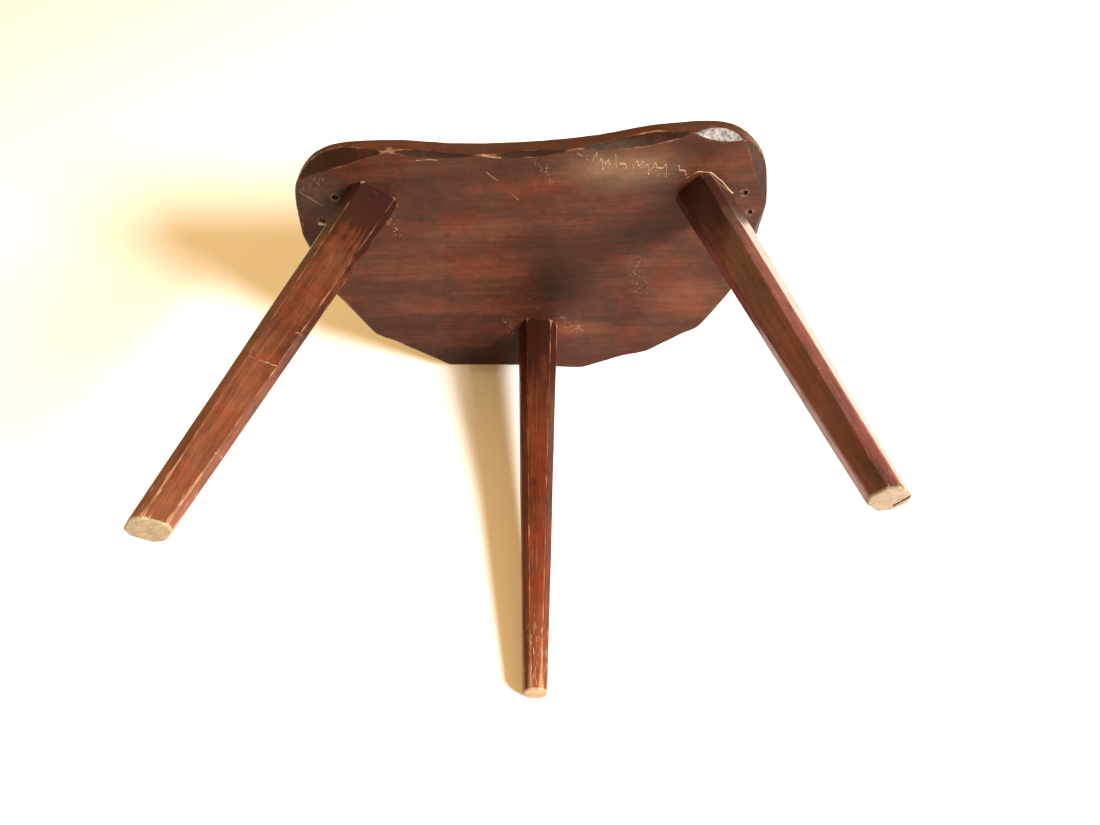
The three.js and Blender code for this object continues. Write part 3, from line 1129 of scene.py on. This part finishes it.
def dress(obj, wood_name, look, node):
    """Gives a piece its material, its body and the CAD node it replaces."""
    obj.data.materials.clear()
    obj.data.materials.append(varnished_wood(wood_name, look))
    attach(obj, BODY)
    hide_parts(node)


seat = seat_mesh()
mortises = []
legs = {}
for side in SIDES:
    leg, foot, axis = leg_mesh(side)
    legs[side] = (leg, foot, axis)
    middle = Vector(tenon_middle(side))
    mortises.append(rod("mortise", middle, axis, MORTISE_RADIUS, UNDERSIDE + 2 * MM, TOP + 2 * MM, 64))
    cut(leg, [kerf_cutter(side)] + ([crack_cutter()] if side == "right" else []))
    smooth_shade(leg)
cut(seat, mortises + peg_hole_cutters())
smooth_shade(seat)

seat_look = dict(
    origin=(0, 0, UNDERSIDE), axis=Vector((1, 0.03, 0)),
    palette=((0.0105, 0.0042, 0.0025), (0.033, 0.0113, 0.0062), (0.080, 0.026, 0.0135)),
    # facet darkens the gouged rim facets as painted shade
    shade=seat_shade, detail=seat_detail, finish=seat_finish, facet=-0.30,
    roughness=0.38, specular=0.10, figure=0.38, fibre=0.32, wear=0.72)
dress(seat, "varnished_seat_wood", seat_look, "seat")
for side, (leg, foot, axis) in legs.items():
    leg_look = dict(
        LEG_WOOD[side], origin=foot, axis=axis, radius=LEG_RADIUS, cap=VARNISHED_END, shade=leg_tone_and_painted_shade,
        detail=leg_detail, marks=cross_marks(side), roughness=0.33, specular=0.1, dirt=0.3)
    dress(leg, f"varnished_leg_wood_{side}", leg_look, "leg_" + side)
    wedge_look = dict(
        origin=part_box("wedge_" + side)[0], axis=axis, roughness=0.5, dirt=0.6,
        palette=((0.10, 0.045, 0.022), (0.26, 0.13, 0.065), (0.42, 0.24, 0.13)))
    dress(wedge_mesh(side), f"wedge_wood_{side}", wedge_look, "wedge_" + side)

# ---- stage, lights, camera

PALE = (0.93, 0.91, 0.87)
FLOOR_HALF = 4
BACKDROP_HALF_WIDTH, BACKDROP_HALF_HEIGHT = 6, 5

# How far up the seat's front edge the backdrop touches it
EDGE_REST = 6 * MM


def one_sided(name, colour):
    """A plain matt surface that shows on its front and lets everything through from behind."""
    material, shader = new_material(name)
    nodes = Nodes(material.node_tree)
    mottle = nodes.noise(nodes.position(), 2.2, 3.0, 0.5)
    nodes.fill(
        shader, Base_Color=nodes.mix(mottle, colour, scaled(colour, 0.96)), Roughness=0.9,
        Specular_IOR_Level=0.1)
    clear = nodes.new("BsdfTransparent")
    both = nodes.new("MixShader")
    behind = nodes.new("NewGeometry").outputs["Backfacing"]
    for socket, value in zip(both.inputs, (behind, shader.outputs[0], clear.outputs[0])):
        nodes.feed(socket, value)
    output = [n for n in material.node_tree.nodes if n.type == "OUTPUT_MATERIAL"][0]
    nodes.feed(output.inputs["Surface"], both.outputs[0])
    return material


def stage_sheet(name, corners, material):
    obj = new_object(name, corners, [tuple(range(len(corners)))])
    obj.data.materials.append(material)
    obj.visible_shadow = False
    return obj


def floor_sheet():
    """The floor the stool stands on. It gives no light back to the stool."""
    half = FLOOR_HALF
    corners = [(-half, -half, 0), (half, -half, 0), (half, half, 0), (-half, half, 0)]
    floor = stage_sheet("floor", corners, one_sided("pale_floor", PALE))
    floor.visible_diffuse = False
    floor.visible_glossy = False


def backdrop_sheet():
    """The sheet that the front foot and the seat's front edge lean on, seen from the rear."""
    points = cad_points("leg_front")
    foot_y = points[points[:, 2] < 1 * MM][:, 1].max()
    lean = (SEAT_HIGH.y - foot_y) / (UNDERSIDE + EDGE_REST)
    wide, tall = BACKDROP_HALF_WIDTH, BACKDROP_HALF_HEIGHT
    low_y, high_y = foot_y - lean * tall, foot_y + lean * tall
    corners = [(-wide, low_y, -tall), (wide, low_y, -tall), (wide, high_y, tall), (-wide, high_y, tall)]
    return stage_sheet("backdrop", corners, one_sided("pale_backdrop", PALE))


LIGHT_AIM = Vector((0, 0, 0.2))


def area_light(name, direction, distance, size, power, colour):
    """A round light that looks at the middle of the stool from a direction."""
    data = bpy.data.lights.new(name, "AREA")
    data.shape = "DISK"
    data.size = size
    data.energy = power
    data.color = colour
    lamp = in_scene(name, data)
    toward = Vector(direction).normalized()
    lamp.location = LIGHT_AIM + toward * distance
    lamp.rotation_euler = toward.to_track_quat("Z", "Y").to_euler()
    return lamp


def light_only(lamp, name, objects):
    """Lets a light fall on some objects only."""
    lit = bpy.data.collections.new(name)
    for obj in objects:
        lit.objects.link(obj)
    lamp.light_linking.receiver_collection = lit


def light_room():
    """An even room: warm as a light on the stool, pale where the camera sees it."""
    world = bpy.data.worlds.new("room")
    bpy.context.scene.world = world
    world.use_nodes = True
    nodes = Nodes(world.node_tree)
    seen = nodes.new("LightPath").outputs["Is Camera Ray"]
    colour = nodes.mix(seen, (0.94, 0.60, 0.25), (1.0, 0.985, 0.93))
    nodes.fill(world.node_tree.nodes["Background"], Color=colour, Strength=1.0)


def place_camera():
    """The photograph's viewing angle: from below and behind, looking up at the underside."""
    data = bpy.data.cameras.new("camera")
    data.lens = 26.43
    data.sensor_width = 36
    camera = in_scene("camera", data)
    camera.location = (0.0337, -0.4375, -0.2080)
    camera.rotation_euler = (math.radians(129.796), math.radians(0.829), math.radians(3.228))
    bpy.context.scene.camera = camera


floor_sheet()
backdrop = backdrop_sheet()
area_light("key", (0.68, -0.49, -0.54), 2.6, 0.75, 235, (1.0, 0.985, 0.96))
sheen = area_light("sheen", (0.45, -0.76, -0.47), 1.6, 0.45, 22, (1.0, 0.97, 0.94))
overhead = area_light("overhead", (-0.3, 0.35, 0.9), 2.2, 1.6, 70, (1.0, 0.99, 0.97))
meshes = [obj for obj in bpy.data.objects if obj.type == "MESH" and obj is not backdrop]
light_only(overhead, "lit_from_above", meshes)
light_only(sheen, "seat_only", [seat])
light_room()
place_camera()
bpy.context.scene.view_settings.view_transform = "Standard"
